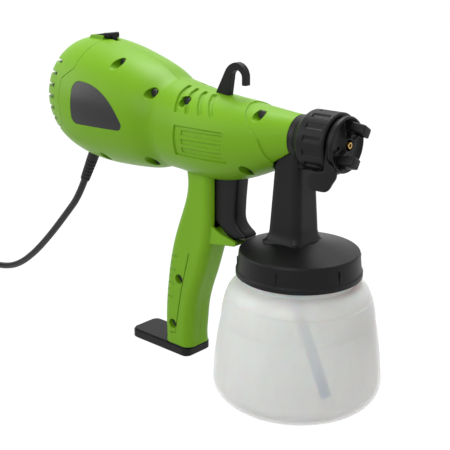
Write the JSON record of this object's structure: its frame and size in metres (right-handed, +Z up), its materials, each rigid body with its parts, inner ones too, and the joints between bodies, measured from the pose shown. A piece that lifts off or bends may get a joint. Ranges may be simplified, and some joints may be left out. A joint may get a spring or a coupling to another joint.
{
  "type": "handheld paint sprayer",
  "caption": "Pistol-grip electric paint sprayer with a bulb-shaped motor housing, screw-on paint cup, horned air cap, hanging hook, grip foot and a coiled mains cord.",
  "frame": {"origin": "centre of the paint cup's flat base, which stands on the table", "axes": "+Z up, +X along the spray axis in the spray direction, Y across the gun"},
  "size_m": [0.541, 0.1546, 0.2462],
  "materials": {
    "housing": "satin moulded lime green",
    "black_plastic": "satin moulded black",
    "cup": "milky translucent",
    "suction_tube": "clear, pale blue",
    "brass": "machined",
    "copper": "enamelled wire",
    "steel": "ground",
    "screw": "blackened",
    "laminations": "stacked sheet",
    "aluminium": "cast",
    "rubber": "matt",
    "inner_plastic": "moulded",
    "foam": "open-cell foam",
    "label": "blank film",
    "capacitor": "moulded box"
  },
  "bodies": {
    "gun": {"housing_left": "housing", "housing_right": "housing", "housing_screws": "screw", "spray_head": "black_plastic", "cup_gasket": "rubber", "fluid_nozzle": "brass", "needle_gland": "brass", "needle_spring": "steel", "motor_frame": "inner_plastic", "bearing_rear": "steel", "bearing_front": "steel", "stator": "laminations", "field_windings": "copper", "brush_holders": "brass", "frame_mount": "rubber", "turbine_housing": "inner_plastic", "turbine_mount": "rubber", "power_switch": "inner_plastic", "capacitor": "capacitor", "trigger_pin": "steel", "hanging_hook": "black_plastic", "grip_foot": "black_plastic", "label_plate": "label", "strain_relief": "rubber", "cord": "rubber", "cord_coil": "rubber", "plug_body": "black_plastic", "plug_pins": "steel", "cord_tie": "rubber"},
    "trigger": {"trigger": "black_plastic"},
    "needle": {"needle": "steel", "needle_collar": "steel"},
    "plunger": {"switch_plunger": "inner_plastic"},
    "nut": {"union_nut": "black_plastic"},
    "air_cap": {"air_cap": "black_plastic", "pattern_lever": "black_plastic"},
    "cup": {"paint_cup": "cup"},
    "suction_tube": {"dip_tube": "suction_tube"},
    "rotor": {"armature": "laminations", "commutator": "copper", "motor_shaft": "steel", "impeller": "aluminium", "impeller_nut": "steel"},
    "cover": {"rear_cover": "housing", "filter_foam": "foam"},
    "latch": {"filter_latch": "black_plastic"}
  },
  "joints": [
    {"name": "trigger_pull", "type": "hinge", "parent": "gun", "child": "trigger", "pos_m": [-0.055, 0, 0.2015], "axis": [0, 1, 0], "range_deg": [0, 5], "stiffness_Nm_per_rad": 1, "springref_deg": -9.74},
    {"name": "needle_draw", "type": "slide", "parent": "gun", "child": "needle", "axis": [-1, 0, 0], "range_m": [0, 0.0012]},
    {"name": "plunger_press", "type": "slide", "parent": "gun", "child": "plunger", "axis": [-1, 0, 0], "range_m": [0, 0.0062]},
    {"name": "nut_turn", "type": "hinge", "parent": "gun", "child": "nut", "pos_m": [0.017, 0, 0.189], "axis": [1, 0, 0], "continuous": true},
    {"name": "pattern_turn", "type": "hinge", "parent": "gun", "child": "air_cap", "pos_m": [0.033, 0, 0.189], "axis": [1, 0, 0], "range_deg": [-45, 45]},
    {"name": "cup_turn", "type": "hinge", "parent": "gun", "child": "cup", "pos_m": [0, 0, 0.05], "axis": [0, 0, 1], "continuous": true},
    {"name": "suction_tube_turn", "type": "hinge", "parent": "gun", "child": "suction_tube", "pos_m": [-0.0056, 0, 0.1], "axis": [0, 0, 1], "continuous": true},
    {"name": "rotor_spin", "type": "hinge", "parent": "gun", "child": "rotor", "pos_m": [-0.18, 0, 0.189], "axis": [1, 0, 0], "continuous": true},
    {"name": "cover_pull", "type": "slide", "parent": "gun", "child": "cover", "axis": [-1, 0, 0], "range_m": [0, 0.04]},
    {"name": "latch_slide", "type": "slide", "parent": "gun", "child": "latch", "axis": [1, 0, 0], "range_m": [0, 0.004]}
  ],
  "couplings": [
    {"joint": "needle_draw", "follows": "trigger_pull", "m_per_rad": 0.0125},
    {"joint": "plunger_press", "follows": "trigger_pull", "m_per_rad": 0.069}
  ]
}
